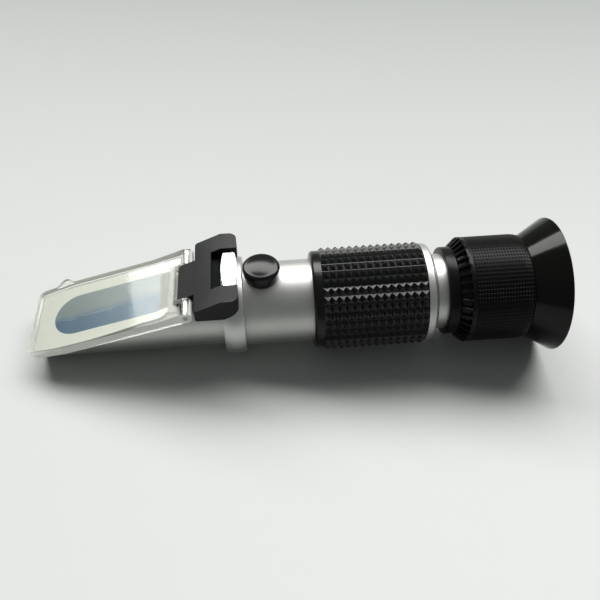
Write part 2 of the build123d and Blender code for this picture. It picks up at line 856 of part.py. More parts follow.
with BuildPart() as reticle_ring:
    revolve(
        ring(x_reticle_seat + reticle_thickness, x_reticle_mount_rear, r_reticle_view, r_reticle),
        Axis.X,
    )
reticle_ring.part.label = "reticle_ring"
export_step(reticle_ring.part, "parts/reticle_ring.step")

# Rubber grip over the rear half of the tube: a smooth front band, then rows of pyramids along the tube
pyramid_pitch = (x_grip_rear - x_grip_pattern) / pyramids_in_row
row_half_angle = pi / pyramid_rows
row_half_width = r_pyramid_foot * sin(row_half_angle)
root_half_width = r_pyramid_root * sin(row_half_angle)
z_pyramid_foot = r_pyramid_foot * cos(row_half_angle)
z_pyramid_root = r_pyramid_root * cos(row_half_angle)
row_outline = [(x_grip_pattern, z_pyramid_root), (x_grip_pattern, z_pyramid_foot)]
for pyramid in range(pyramids_in_row):
    x_foot = x_grip_pattern + pyramid * pyramid_pitch
    row_outline.append((x_foot + pyramid_pitch / 2, r_pyramid_tip))
    row_outline.append((x_foot + pyramid_pitch, z_pyramid_foot))
row_outline.append((x_grip_rear, z_pyramid_root))
with BuildPart() as pyramid_row:
    extrude(side_shape(*row_outline), row_half_width, both=True)
    with BuildSketch(Plane.YZ.offset(x_grip_pattern)):
        with BuildLine():
            Polyline(
                (-row_half_width, z_pyramid_foot),
                (0, r_pyramid_tip),
                (row_half_width, z_pyramid_foot),
                (root_half_width, z_pyramid_root),
                (-root_half_width, z_pyramid_root),
                close=True,
            )
        make_face()
    extrude(amount=x_grip_rear - x_grip_pattern, mode=Mode.INTERSECT)

with BuildPart() as grip_sleeve:
    with BuildSketch(Plane.XZ):
        with BuildLine():
            Line((x_grip_front, r_tube + slip), (x_grip_front, r_grip_band - grip_round))
            RadiusArc(
                (x_grip_front, r_grip_band - grip_round),
                (x_grip_front + grip_round, r_grip_band),
                grip_round,
            )
            Polyline(
                (x_grip_front + grip_round, r_grip_band),
                (x_grip_pattern, r_grip_band),
                (x_grip_pattern, r_grip_core),
                (x_grip_rear, r_grip_core),
                (x_grip_rear, r_tube + slip),
                (x_grip_front, r_tube + slip),
            )
        make_face()
    revolve(axis=Axis.X)
    with Locations(*[Rotation(360 * (row + 0.5) / pyramid_rows, 0, 0) for row in range(pyramid_rows)]):
        add(pyramid_row.part)
grip_sleeve.part.label = "grip_sleeve"
export_step(grip_sleeve.part, "parts/grip_sleeve.step")

# Bright ring that closes the tube behind the grip
with BuildPart() as end_ring:
    with BuildSketch(Plane.XZ):
        with BuildLine():
            RadiusArc((x_end_ring_edge, r_end_ring), (x_end_ring_rear, r_end_ring_rear), end_ring_round)
            Polyline(
                (x_end_ring_rear, r_end_ring_rear),
                (x_end_ring_rear, r_eyepiece_tube + slip),
                (x_tube_rear + slip, r_eyepiece_tube + slip),
                (x_tube_rear + slip, r_tube + slip),
                (x_grip_rear, r_tube + slip),
                (x_grip_rear, r_end_ring),
                (x_end_ring_edge, r_end_ring),
            )
        make_face()
    revolve(axis=Axis.X)
end_ring.part.label = "end_ring"
export_step(end_ring.part, "parts/end_ring.step")

# Fixed eyepiece tube, its wiper ring and the key that stops the barrel from turning
with BuildPart() as eyepiece_tube:
    revolve(
        side_shape(
            (x_eyepiece_tube_front, r_eyepiece_bore),
            (x_eyepiece_tube_front, r_tube_bore - slip),
            (x_tube_rear + slip, r_tube_bore - slip),
            (x_tube_rear + slip, r_eyepiece_tube),
            (x_eyepiece_tube_rear, r_eyepiece_tube),
            (x_eyepiece_tube_rear, r_eyepiece_bore),
        ),
        Axis.X,
    )
    extrude(rounds_at([(x_key, 0)], r_key, r_eyepiece_bore - overrun), through, mode=Mode.SUBTRACT)
eyepiece_tube.part.label = "eyepiece_tube"
export_step(eyepiece_tube.part, "parts/eyepiece_tube.step")

with BuildPart() as wiper_ring:
    with BuildSketch(Plane.XZ):
        with Locations((x_seal, r_eyepiece_tube + r_seal_cord)):
            Circle(r_seal_cord)
    revolve(axis=Axis.X)
wiper_ring.part.label = "wiper_ring"
export_step(wiper_ring.part, "parts/wiper_ring.step")

with BuildPart() as key_screw:
    extrude(rounds_at([(x_key, 0)], r_key, r_key_foot), z_key_top - r_key_foot)
key_screw.part.label = "key_screw"
export_step(key_screw.part, "parts/key_screw.step")

# Ocular barrel, which slides in the eyepiece tube, and what it carries
with BuildPart() as ocular_barrel:
    revolve(
        side_shape(
            (x_barrel_front, r_barrel_front_bore),
            (x_lens_stop_front, r_barrel_front_bore),
            (x_lens_stop_front, r_barrel_stop),
            (x_lens_stop, r_barrel_stop),
            (x_lens_stop, r_lens_bore),
            (x_barrel_rear, r_lens_bore),
            (x_barrel_rear, r_barrel),
            (x_flange_rear, r_barrel),
            (x_flange_rear, r_flange),
            (x_flange_front, r_flange),
            (x_flange_front, r_barrel),
            (x_barrel_front, r_barrel),
        ),
        Axis.X,
    )
    with BuildSketch(Plane.XY.offset(r_barrel_front_bore - overrun)):
        with Locations(((key_slot_front + key_slot_rear) / 2, 0)):
            SlotOverall(key_slot_rear - key_slot_front, key_slot_width)
    extrude(amount=through, mode=Mode.SUBTRACT)
ocular_barrel.part.label = "ocular_barrel"
export_step(ocular_barrel.part, "parts/ocular_barrel.step")

with BuildPart() as field_lens:
    revolve(lens(x_field_lens, r_lens, field_lens_edge, field_lens_bulge), Axis.X)
field_lens.part.label = "field_lens"
export_step(field_lens.part, "parts/field_lens.step")

with BuildPart() as lens_spacer:
    x_spacer_front = x_field_lens + field_lens_edge / 2 + field_rise
    revolve(ring(x_spacer_front, x_spacer_rear, r_barrel_stop, r_lens), Axis.X)
lens_spacer.part.label = "lens_spacer"
export_step(lens_spacer.part, "parts/lens_spacer.step")

with BuildPart() as eye_lens:
    revolve(lens(x_eye_lens, r_lens, eye_lens_edge, eye_lens_bulge), Axis.X)
eye_lens.part.label = "eye_lens"
export_step(eye_lens.part, "parts/eye_lens.step")

with BuildPart() as eye_lens_ring:
    x_eye_ring_front = x_eye_lens + eye_lens_edge / 2 + eye_rise
    revolve(ring(x_eye_ring_front, x_lens_ring_rear, r_lens_ring_view, r_lens), Axis.X)
eye_lens_ring.part.label = "eye_lens_ring"
export_step(eye_lens_ring.part, "parts/eye_lens_ring.step")

# Turning focus ring: front lip, toothed bevel, plain band and the core under the rubber
with BuildPart() as tooth_cutter:
    extrude(
        side_shape(
            (x_tooth_gap, r_teeth_front - tooth_depth),
            (x_bevel_rear, r_teeth_rear - tooth_depth),
            (x_bevel_rear, r_band + overrun),
            (x_tooth_gap, r_band + overrun),
        ),
        tooth_gap / 2,
        both=True,
    )

with BuildPart() as focus_ring:
    revolve(
        side_shape(
            (x_focus_front, r_focus_bore),
            (x_focus_front, r_focus_lip - focus_chamfer),
            (x_focus_front + focus_chamfer, r_focus_lip),
            (x_teeth_front, r_focus_lip),
            (x_teeth_front, r_teeth_front),
            (x_teeth_rear, r_teeth_rear),
            (x_bevel_rear, r_band),
            (x_band_rear, r_band),
            (x_band_rear, r_core),
            (x_core_rear, r_core),
            (x_core_rear, r_focus_cup),
            (x_web_rear, r_focus_cup),
            (x_web_rear, r_web),
            (x_web_front, r_web),
            (x_web_front, r_focus_bore),
        ),
        Axis.X,
    )
    with Locations(*[Rotation(360 * tooth / teeth, 0, 0) for tooth in range(teeth)]):
        add(tooth_cutter.part, mode=Mode.SUBTRACT)
focus_ring.part.label = "focus_ring"
export_step(focus_ring.part, "parts/focus_ring.step")

with BuildPart() as ocular_retainer:
    revolve(ring(x_retainer_front, x_retainer_rear, r_retainer_view, r_focus_cup), Axis.X)
ocular_retainer.part.label = "ocular_retainer"
export_step(ocular_retainer.part, "parts/ocular_retainer.step")

with BuildPart() as focus_sleeve:
    with BuildSketch(Plane.XZ):
        with BuildLine():
            RadiusArc((x_sleeve_round, r_sleeve), (x_sleeve_rear, r_sleeve_rear), sleeve_round)
            Polyline(
                (x_sleeve_rear, r_sleeve_rear),
                (x_sleeve_rear, r_core + snug),
                (x_band_rear + slip, r_core + snug),
                (x_band_rear + slip, r_sleeve),
                (x_sleeve_round, r_sleeve),
            )
        make_face()
    revolve(axis=Axis.X)
focus_sleeve.part.label = "focus_sleeve"
export_step(focus_sleeve.part, "parts/focus_sleeve.step")

# Flared rubber eyecup, plugged into the focus ring
with BuildPart() as eyecup:
    revolve(
        side_shape(
            (x_eyecup_front, r_eyecup_bore),
            (x_eyecup_front, r_focus_cup - snug),
            (x_core_rear + slip, r_focus_cup - snug),
            (x_core_rear + slip, r_core - slip),
            (x_sleeve_rear, r_core - slip),
            (x_sleeve_rear, r_cone),
            (x_rim - rim_bevel, r_rim - rim_bevel / 2),
            (x_rim - rim_bevel / 3, r_rim),
            (x_rim, r_rim - rim_bevel),
            (x_rim, r_rim - rim_bevel - rim_wall / 2),
            (x_rim - rim_wall / 2, r_rim - rim_bevel - rim_wall),
            (x_bell, r_bell),
            (x_bell_throat, r_eyecup_bore),
        ),
        Axis.X,
    )
eyecup.part.label = "eyecup"
export_step(eyecup.part, "parts/eyecup.step")
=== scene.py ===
import math

import bmesh
import bpy
import numpy as np
from mathutils import Matrix, Vector


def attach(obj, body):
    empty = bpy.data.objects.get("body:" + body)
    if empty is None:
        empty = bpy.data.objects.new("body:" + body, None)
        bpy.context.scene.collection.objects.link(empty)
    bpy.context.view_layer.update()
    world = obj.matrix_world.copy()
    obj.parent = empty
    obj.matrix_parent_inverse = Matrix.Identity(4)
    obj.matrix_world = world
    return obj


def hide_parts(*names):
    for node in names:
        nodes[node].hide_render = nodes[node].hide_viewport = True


# A hand refractometer lying on a pale table, seen from above its near side.
# X runs along the optical axis to the eye, Z is up, the camera is on the -Y side.
# Sizes are in millimetres where nothing else is said.
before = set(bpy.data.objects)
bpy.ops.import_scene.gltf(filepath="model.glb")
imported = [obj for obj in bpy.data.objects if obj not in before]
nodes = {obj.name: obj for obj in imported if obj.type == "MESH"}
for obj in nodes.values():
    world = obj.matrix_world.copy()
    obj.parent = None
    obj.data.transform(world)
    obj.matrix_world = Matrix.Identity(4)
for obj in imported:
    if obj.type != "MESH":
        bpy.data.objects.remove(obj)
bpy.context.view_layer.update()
mm = 0.001


def roundedCorners(corners, radii, steps=6):
    # A closed outline with its corners rounded: each corner becomes an arc that starts radius * tan(turn / 2)
    # before it and turns evenly about a centre on the corner's bisector. No arc takes more than half a side.
    halfSide, smallest, nearZero = 0.499, 1e-6, 1e-9
    corner = np.asarray(corners, float)
    back = np.roll(corner, 1, 0) - corner
    ahead = np.roll(corner, -1, 0) - corner
    room = halfSide * np.minimum(np.linalg.norm(back, axis=1), np.linalg.norm(ahead, axis=1))
    back /= np.linalg.norm(back, axis=1)[:, None]
    ahead /= np.linalg.norm(ahead, axis=1)[:, None]
    turn = np.arccos(np.clip(-(back * ahead).sum(1), -1, 1))
    radius = np.minimum(np.broadcast_to(radii, len(corner)), room / np.maximum(np.tan(turn / 2), smallest))
    inward = back + ahead
    inward /= np.maximum(np.linalg.norm(inward, axis=1), nearZero)[:, None]
    centre = corner + inward * (radius / np.cos(turn / 2))[:, None]
    first = corner + back * (radius * np.tan(turn / 2))[:, None] - centre
    side = np.sign(back[:, 1] * ahead[:, 0] - back[:, 0] * ahead[:, 1])
    swing = np.linspace(0, 1, steps)[None] * (turn * side)[:, None]
    c, s = np.cos(swing), np.sin(swing)
    swung = np.stack([first[:, :1] * c - first[:, 1:] * s, first[:, :1] * s + first[:, 1:] * c], -1)
    arcs = centre[:, None] + swung
    arcs = np.where((turn * radius < smallest)[:, None, None], corner[:, None], arcs).reshape(-1, 2)
    return arcs[np.linalg.norm(arcs - np.roll(arcs, 1, 0), axis=1) > smallest]


def gridFaces(rows, columns, closeRows, closeColumns):
    # Quads between the neighbours in a grid of points, (i, j), (i + 1, j), (i + 1, j + 1), (i, j + 1), with
    # the last row or column joined to the first where it closes.
    i = np.arange(rows - (not closeRows))[:, None]
    j = np.arange(columns - (not closeColumns))[None]
    below, beside = (i + 1) % rows, (j + 1) % columns
    quads = [i * columns + j, below * columns + j, below * columns + beside, i * columns + beside]
    return np.stack(np.broadcast_arrays(*quads), -1).reshape(-1, 4)


def putMesh(name, points, *faceSets, sharp=35):
    # A mesh from points and arrays of quads or triangles. All faces turn outwards together, by the sign of
    # the volume, the sum of a . (b x c) over the triangles. Edges sharper than so many degrees stay sharp.
    points = np.asarray(points, float).reshape(-1, 3)
    fans = [np.stack([f[:, 0], f[:, k], f[:, k + 1]], -1) for f in faceSets for k in range(1, f.shape[1] - 1)]
    corners = points[np.concatenate(fans)]
    volume = np.einsum("ij,ij->i", corners[:, 0], np.cross(corners[:, 1], corners[:, 2])).sum()
    faceSets = [f if volume > 0 else f[:, ::-1] for f in faceSets]
    sizes = np.concatenate([np.full(len(f), f.shape[1]) for f in faceSets])
    loops = np.concatenate([f.ravel() for f in faceSets])
    mesh = bpy.data.meshes.new(name)
    mesh.vertices.add(len(points))
    mesh.vertices.foreach_set("co", (points * mm).astype(np.float32).ravel())
    mesh.loops.add(len(loops))
    mesh.loops.foreach_set("vertex_index", loops.astype(np.int32))
    mesh.polygons.add(len(sizes))
    mesh.polygons.foreach_set("loop_start", (np.cumsum(sizes) - sizes).astype(np.int32))
    mesh.update(calc_edges=True)
    mesh.shade_smooth()
    mesh.set_sharp_from_angle(angle=math.radians(sharp))
    piece = bpy.data.objects.new(name, mesh)
    bpy.context.scene.collection.objects.link(piece)
    return piece


def aroundAxis(stations, radii, angle):
    # Points about the optical axis, (station, radius * sin(angle), radius * cos(angle)).
    return np.stack(np.broadcast_arrays(stations[:, None], radii * np.sin(angle), radii * np.cos(angle)), -1)


def turned(name, profile, sides=240):
    # A closed profile of (station, radius) carried round the optical axis.
    angle = np.arange(sides) * 2 * np.pi / sides
    stations, radii = np.asarray(profile, float).T
    points = aroundAxis(stations, radii[:, None], angle)
    return putMesh(name, points, gridFaces(len(stations), sides, True, True))


def closedStack(name, rings, firstPoint, lastPoint, sharp=40):
    # Rings of points joined into walls. The first and the last ring are each closed by a fan about a point.
    rows, columns = rings.shape[:2]
    j = np.arange(columns)
    beside = (j + 1) % columns
    last = (rows - 1) * columns
    firstFan = np.stack([np.full(columns, rows * columns), j, beside], -1)
    lastFan = np.stack([np.full(columns, rows * columns + 1), last + beside, last + j], -1)
    points = np.concatenate([rings.reshape(-1, 3), [firstPoint, lastPoint]])
    return putMesh(name, points, gridFaces(rows, columns, False, True), firstFan, lastFan, sharp=sharp)


def roundedCopy(name, node, width, segments):
    # The frame's own mesh, its doubles merged and its flat faces joined, with its edges rounded by a bevel.
    doubles, flatDegrees, sharpDegrees = 0.002, 0.5, 35
    mesh = nodes[node].data.copy()
    mesh.name = name
    work = bmesh.new()
    work.from_mesh(mesh)
    bmesh.ops.remove_doubles(work, verts=work.verts, dist=doubles * mm)
    bmesh.ops.dissolve_limit(work, angle_limit=math.radians(flatDegrees), verts=work.verts, edges=work.edges)
    work.to_mesh(mesh)
    work.free()
    if "custom_normal" in mesh.attributes:
        mesh.attributes.remove(mesh.attributes["custom_normal"])
    mesh.shade_smooth()
    mesh.set_sharp_from_angle(angle=math.radians(sharpDegrees))
    piece = bpy.data.objects.new(name, mesh)
    bpy.context.scene.collection.objects.link(piece)
    bevel = piece.modifiers.new("roundedEdges", "BEVEL")
    bevel.width = width * mm
    bevel.segments = segments
    bevel.limit_method = "ANGLE"
    bevel.angle_limit = math.radians(sharpDegrees)
    bevel.harden_normals = True
    return piece


def place(piece, body, slot, finish, *stoodFor):
    # The piece rides on its body, takes its finish, and stands for the frame's nodes where it names any.
    piece.data.materials.clear()
    piece.data.materials.append(finishes[finish])
    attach(piece, body)
    if stoodFor:
        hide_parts(*stoodFor)
    return piece


def newGroup(name, inputs, outputs):
    # A shader node group with named sockets: the group, what its inside reads, and what it writes.
    group = bpy.data.node_groups.new(name, "ShaderNodeTree")
    for label, kind, value in inputs:
        socket = group.interface.new_socket(label, in_out="INPUT", socket_type=kind)
        if value is not None:
            socket.default_value = value
    for label, kind in outputs:
        group.interface.new_socket(label, in_out="OUTPUT", socket_type=kind)
    return group, group.nodes.new("NodeGroupInput").outputs, group.nodes.new("NodeGroupOutput").inputs


def addNode(tree, kind, settings=None, **values):
    # A node of that kind, with its settings, and its sockets set or linked by name, or by number as in _0.
    node = tree.nodes.new(kind)
    for key, value in (settings or {}).items():
        setattr(node, key, value)
    for key, value in values.items():
        socket = node.inputs[int(key[1:])] if key[0] == "_" else node.inputs[key.replace("_", " ")]
        if isinstance(value, bpy.types.NodeSocket):
            tree.links.new(value, socket)
        else:
            socket.default_value = value
    return node


def calc(tree, operation, first, second=0.5, third=0.5, clamp=False):
    # One arithmetic step.
    settings = {"operation": operation, "use_clamp": clamp}
    return addNode(tree, "ShaderNodeMath", settings, _0=first, _1=second, _2=third).outputs[0]


def blended(tree, mask, first, second):
    # A colour between two others, by a mask.
    return addNode(tree, "ShaderNodeMix", {"data_type": "RGBA"}, Factor=mask, _6=first, _7=second).outputs[2]


def tinted(tree, mask, colour):
    # Lays a colour over what a finish has so far, by a mask.
    base = tree.nodes["Principled BSDF"].inputs["Base Color"]
    tree.links.new(blended(tree, mask, base.links[0].from_socket, colour), base)


def objectPlace(tree):
    # A piece's own coordinates, together and as three numbers.
    where = addNode(tree, "ShaderNodeTexCoord").outputs["Object"]
    return where, addNode(tree, "ShaderNodeSeparateXYZ", Vector=where).outputs


# Fine grain of a surface: noise at two scales. Tone is a mask about 0.5, Height goes to a bump.
broadShare = 0.11
grainGroup, given, result = newGroup(
    "fineGrain",
    [
        ("Vector", "NodeSocketVector", None),
        ("Scale", "NodeSocketFloat", 4000.0),
        ("Coarse", "NodeSocketFloat", 0.3),
    ],
    [("Tone", "NodeSocketFloat"), ("Height", "NodeSocketFloat")],
)
fine = addNode(
    grainGroup, "ShaderNodeTexNoise", Vector=given["Vector"], Scale=given["Scale"], Detail=3.0, Roughness=0.6
)
broadScale = calc(grainGroup, "MULTIPLY", given["Scale"], broadShare)
broad = addNode(grainGroup, "ShaderNodeTexNoise", Vector=given["Vector"], Scale=broadScale, Detail=4.0)
both = addNode(grainGroup, "ShaderNodeMix", Factor=given["Coarse"], A=fine.outputs[0], B=broad.outputs[0])
grainGroup.links.new(fine.outputs[0], result["Height"])
grainGroup.links.new(both.outputs[0], result["Tone"])

# Handling marks: soft cloudy patches that make a finish a little rougher or smoother.
middleTone = 0.5
marksGroup, given, result = newGroup(
    "handlingMarks",
    [
        ("Vector", "NodeSocketVector", None),
        ("Roughness", "NodeSocketFloat", 0.3),
        ("Spread", "NodeSocketFloat", 0.08),
        ("Scale", "NodeSocketFloat", 140.0),
    ],
    [("Roughness", "NodeSocketFloat"), ("Mask", "NodeSocketFloat")],
)
cloud = addNode(
    marksGroup, "ShaderNodeTexNoise", Vector=given["Vector"], Scale=given["Scale"], Detail=5.0, Roughness=0.65
)
centred = calc(marksGroup, "SUBTRACT", cloud.outputs[0], middleTone)
marked = calc(marksGroup, "MULTIPLY_ADD", centred, given["Spread"], given["Roughness"], clamp=True)
marksGroup.links.new(cloud.outputs[0], result["Mask"])
marksGroup.links.new(marked, result["Roughness"])

# Worn edges: where the surface is convex, broken up by noise.
wearSpan = 0.1
wearGroup, given, result = newGroup(
    "wornEdges",
    [
        ("Vector", "NodeSocketVector", None),
        ("Amount", "NodeSocketFloat", 0.5),
        ("Start", "NodeSocketFloat", 0.53),
    ],
    [("Mask", "NodeSocketFloat")],
)
convex = addNode(
    wearGroup,
    "ShaderNodeMapRange",
    _0=addNode(wearGroup, "ShaderNodeNewGeometry").outputs["Pointiness"],
    From_Min=given["Start"],
    From_Max=calc(wearGroup, "ADD", given["Start"], wearSpan),
)
broken = addNode(wearGroup, "ShaderNodeTexNoise", Vector=given["Vector"], Scale=900.0, Detail=4.0)
patchy = calc(wearGroup, "MULTIPLY", convex.outputs[0], broken.outputs[0])
wearGroup.links.new(calc(wearGroup, "MULTIPLY", patchy, given["Amount"], clamp=True), result["Mask"])


def newFinish(
    name,
    colour,
    roughness,
    marks=0.08,
    grainScale=4000.0,
    bump=0.1,
    depth=0.02,
    tint=0.08,
    wear=0.0,
    wearColour=(0.4, 0.4, 0.4, 1),
    stretch=(1, 1, 1),
    **shader,
):
    # A finish read from object coordinates: colour * (1 - tint) to colour * (1 + tint) by the grain,
    # roughness varied by handling marks, a fine bump, and edges worn to another colour.
    finish = bpy.data.materials.new(name)
    finish.use_nodes = True
    tree = finish.node_tree
    shade = tree.nodes["Principled BSDF"]
    for key, value in shader.items():
        shade.inputs[key.replace("_", " ")].default_value = value
    where = addNode(tree, "ShaderNodeTexCoord").outputs["Object"]
    along = addNode(tree, "ShaderNodeMapping", Vector=where, Scale=stretch).outputs[0]
    grain = addNode(tree, "ShaderNodeGroup", {"node_tree": grainGroup}, Vector=along, Scale=grainScale)
    cloudy = addNode(
        tree, "ShaderNodeGroup", {"node_tree": marksGroup}, Vector=where, Roughness=roughness, Spread=marks
    )
    dark = tuple(c * (1 - tint) for c in colour[:3]) + (1,)
    light = tuple(min(1, c * (1 + tint)) for c in colour[:3]) + (1,)
    tone = blended(tree, grain.outputs["Tone"], dark, light)
    if wear:
        worn = addNode(tree, "ShaderNodeGroup", {"node_tree": wearGroup}, Vector=where, Amount=wear)
        tone = blended(tree, worn.outputs[0], tone, wearColour)
    tree.links.new(tone, shade.inputs["Base Color"])
    tree.links.new(cloudy.outputs["Roughness"], shade.inputs["Roughness"])
    height = grain.outputs["Height"]
    bumped = addNode(tree, "ShaderNodeBump", Strength=bump, Distance=depth * mm, Height=height)
    tree.links.new(bumped.outputs[0], shade.inputs["Normal"])
    return finish


def litThrough(finish, colour):
    # Lets light straight through a clear finish, so that what lies under it is lit once, and not by caustics.
    tree = finish.node_tree
    solid = tree.nodes["Principled BSDF"].outputs[0]
    clear = addNode(tree, "ShaderNodeBsdfTransparent", Color=colour).outputs[0]
    path = addNode(tree, "ShaderNodeLightPath").outputs
    lighting = calc(tree, "MAXIMUM", path["Is Shadow Ray"], path["Is Diffuse Ray"])
    mixed = addNode(tree, "ShaderNodeMixShader", _0=lighting, _1=solid, _2=clear)
    tree.links.new(mixed.outputs[0], tree.nodes["Material Output"].inputs["Surface"])


def mattAndPaintedShade(finish, low, high, colour, roughness):
    # Paints the part of a finish that lies between two corners of a box in another colour and roughness, and
    # takes the metal
    # away there: painted shade where the box is the bracket's shaded recess, a matt seat where it is the
    # hinge's seat.
    tree = finish.node_tree
    shade = tree.nodes["Principled BSDF"]
    mask = 1.0
    for axis, least, most in zip(objectPlace(tree)[1], low, high):
        above = calc(tree, "GREATER_THAN", axis, least * mm)
        below = calc(tree, "LESS_THAN", axis, most * mm)
        mask = calc(tree, "MULTIPLY", calc(tree, "MULTIPLY", above, below), mask)
    tinted(tree, mask, colour)
    before = shade.inputs["Roughness"].links[0].from_socket
    rough = addNode(tree, "ShaderNodeMix", Factor=mask, A=before, B=roughness)
    tree.links.new(rough.outputs[0], shade.inputs["Roughness"])
    if shade.inputs["Metallic"].default_value > 0:
        tree.links.new(calc(tree, "SUBTRACT", 1.0, mask), shade.inputs["Metallic"])


def paledBeyondLine(finish, f):
    # A paler, greyer tone over the part of a finish beyond a wavy line, with a thin lighter rim where the
    # mask passes a
    # low value: mask = y + waviness * (noise - 0.5) > line.
    tree = finish.node_tree
    where, axes = objectPlace(tree)
    wave = addNode(tree, "ShaderNodeTexNoise", Vector=where, Scale=f["waveScale"], Detail=2.0).outputs[0]
    edge = calc(tree, "MULTIPLY_ADD", calc(tree, "SUBTRACT", wave, middleTone), f["waviness"] * mm, axes[1])
    start, end = (f["line"] - f["softness"]) * mm, (f["line"] + f["softness"]) * mm
    paler = addNode(tree, "ShaderNodeMapRange", _0=edge, From_Min=start, From_Max=end).outputs[0]
    fromRim = calc(tree, "ABSOLUTE", calc(tree, "SUBTRACT", paler, f["rimAt"]))
    rim = addNode(tree, "ShaderNodeMapRange", _0=fromRim, From_Min=f["rimWidth"], From_Max=0.0).outputs[0]
    tinted(tree, paler, f["colour"])
    tinted(tree, calc(tree, "MULTIPLY", rim, f["rimAmount"]), f["rimColour"])


# Each finish: what newFinish varies, then sockets of the shader, which start with a capital
finishValues = {
    "satinMetal": {
        "colour": (0.50, 0.50, 0.485),
        "roughness": 0.45,
        "marks": 0.1,
        "grainScale": 5200,
        "bump": 0.12,
        "depth": 0.01,
        "tint": 0.05,
        "Metallic": 1.0,
    },
    "brightMetal": {
        "colour": (0.54, 0.54, 0.53),
        "roughness": 0.38,
        "marks": 0.06,
        "grainScale": 4200,
        "bump": 0.03,
        "depth": 0.01,
        "tint": 0.03,
        "stretch": (3, 0.4, 0.4),
        "Metallic": 1.0,
    },
    "blackBracket": {
        "colour": (0.010, 0.011, 0.0105),
        "roughness": 0.6,
        "marks": 0.2,
        "grainScale": 2600,
        "bump": 0.7,
        "tint": 0.2,
        "wear": 0.25,
        "wearColour": (0.06, 0.062, 0.06, 1),
        "Specular_IOR_Level": 0.24,
    },
    "focusBlack": {
        "colour": (0.003, 0.0034, 0.003),
        "roughness": 0.3,
        "marks": 0.1,
        "grainScale": 5000,
        "bump": 0.12,
        "depth": 0.01,
        "tint": 0.15,
        "wear": 0.2,
        "wearColour": (0.07, 0.07, 0.066, 1),
        "Specular_IOR_Level": 0.12,
    },
    "gripRubber": {
        "colour": (0.003, 0.0038, 0.003),
        "roughness": 0.23,
        "marks": 0.12,
        "grainScale": 6000,
        "bump": 0.2,
        "depth": 0.015,
        "tint": 0.2,
        "wear": 0.12,
        "wearColour": (0.016, 0.017, 0.016, 1),
        "Specular_IOR_Level": 0.26,
    },
    "sleeveRubber": {
        "colour": (0.003, 0.0034, 0.0028),
        "roughness": 0.36,
        "marks": 0.1,
        "grainScale": 7000,
        "bump": 0.2,
        "depth": 0.012,
        "tint": 0.25,
        "Specular_IOR_Level": 0.09,
    },
    "eyecupRubber": {
        "colour": (0.003, 0.0034, 0.0026),
        "roughness": 0.12,
        "marks": 0.1,
        "grainScale": 5000,
        "depth": 0.01,
        "bump": 0.08,
        "tint": 0.2,
        "Specular_IOR_Level": 0.17,
    },
    "capRubber": {
        "colour": (0.004, 0.0046, 0.0042),
        "roughness": 0.2,
        "marks": 0.12,
        "grainScale": 5000,
        "bump": 0.12,
        "depth": 0.012,
        "tint": 0.2,
        "Specular_IOR_Level": 0.24,
    },
    "sealRubber": {
        "colour": (0.035, 0.035, 0.033),
        "roughness": 0.5,
        "marks": 0.1,
        "grainScale": 6000,
        "bump": 0.2,
        "tint": 0.2,
    },
    "creamBed": {
        "colour": (0.60, 0.605, 0.565),
        "roughness": 0.42,
        "marks": 0.1,
        "grainScale": 2500,
        "tint": 0.05,
    },
    "steel": {
        "colour": (0.5, 0.5, 0.49),
        "roughness": 0.3,
        "grainScale": 4500,
        "bump": 0.08,
        "tint": 0.05,
        "Metallic": 1.0,
    },
    "brass": {
        "colour": (0.62, 0.46, 0.2),
        "roughness": 0.32,
        "grainScale": 4500,
        "tint": 0.06,
        "Metallic": 1.0,
    },
    "blackMetal": {
        "colour": (0.012, 0.012, 0.013),
        "roughness": 0.5,
        "grainScale": 4500,
        "bump": 0.2,
        "tint": 0.2,
        "Metallic": 0.2,
    },
    "lensGlass": {
        "colour": (0.9, 0.95, 0.93),
        "roughness": 0.03,
        "marks": 0.02,
        "bump": 0.0,
        "tint": 0.01,
        "Transmission_Weight": 1.0,
        "IOR": 1.52,
    },
    "prismGlass": {
        "colour": (0.026, 0.078, 0.145),
        "roughness": 0.34,
        "marks": 0.2,
        "grainScale": 1200,
        "bump": 0.12,
        "depth": 0.03,
        "tint": 0.45,
    },
    "clearCover": {
        "colour": (0.96, 0.97, 0.94),
        "roughness": 0.06,
        "marks": 0.06,
        "grainScale": 2500,
        "bump": 0.02,
        "depth": 0.01,
        "tint": 0.01,
        "Transmission_Weight": 1.0,
        "IOR": 1.38,
    },
    "coverEdge": {
        "colour": (0.88, 0.88, 0.84),
        "roughness": 0.38,
        "marks": 0.1,
        "grainScale": 2500,
        "bump": 0.06,
        "tint": 0.04,
        "Transmission_Weight": 0.3,
        "IOR": 1.4,
    },
}
finishValues["boxMetal"] = dict(finishValues["satinMetal"], roughness=0.42)
finishes = {name: newFinish(name, **values) for name, values in finishValues.items()}

# How much light passes through the cover plate, the shade painted into the bracket's recess, the matt seat of
# the hinge, and the paler tone over the far part of the prism
passedLight = {"clearCover": (0.80, 0.81, 0.79, 1), "coverEdge": (0.72, 0.72, 0.70, 1)}
# Painted shade: the floor of the bracket's recess is painted near-black where it lies in shade
recessPaintedShade = {
    "low": (-18.85, -7.5, 12),
    "high": (-16.1, 7.5, 15.3),
    "colour": (0.0015, 0.0028, 0.0035, 1),
    "roughness": 0.95,
}
hingeSeat = {
    "low": (-60, -14, 7.2),
    "high": (-23.7, 14, 13),
    "colour": (0.30, 0.30, 0.275, 1),
    "roughness": 0.6,
}
# The far part of the prism is painted paler and greyer beyond a wavy line, with a thin lighter rim
prismFarTone = {
    "line": -0.5,
    "softness": 1.5,
    "waviness": 7.0,
    "waveScale": 120.0,
    "colour": (0.14, 0.175, 0.19, 1),
    "rimAt": 0.2,
    "rimWidth": 0.1,
    "rimAmount": 0.35,
    "rimColour": (0.3, 0.34, 0.36, 1),
}
for name, colour in passedLight.items():
    litThrough(finishes[name], colour)
mattAndPaintedShade(finishes["blackBracket"], **recessPaintedShade)
mattAndPaintedShade(finishes["boxMetal"], **hingeSeat)
paledBeyondLine(finishes["prismGlass"], prismFarTone)
print("finishes made")

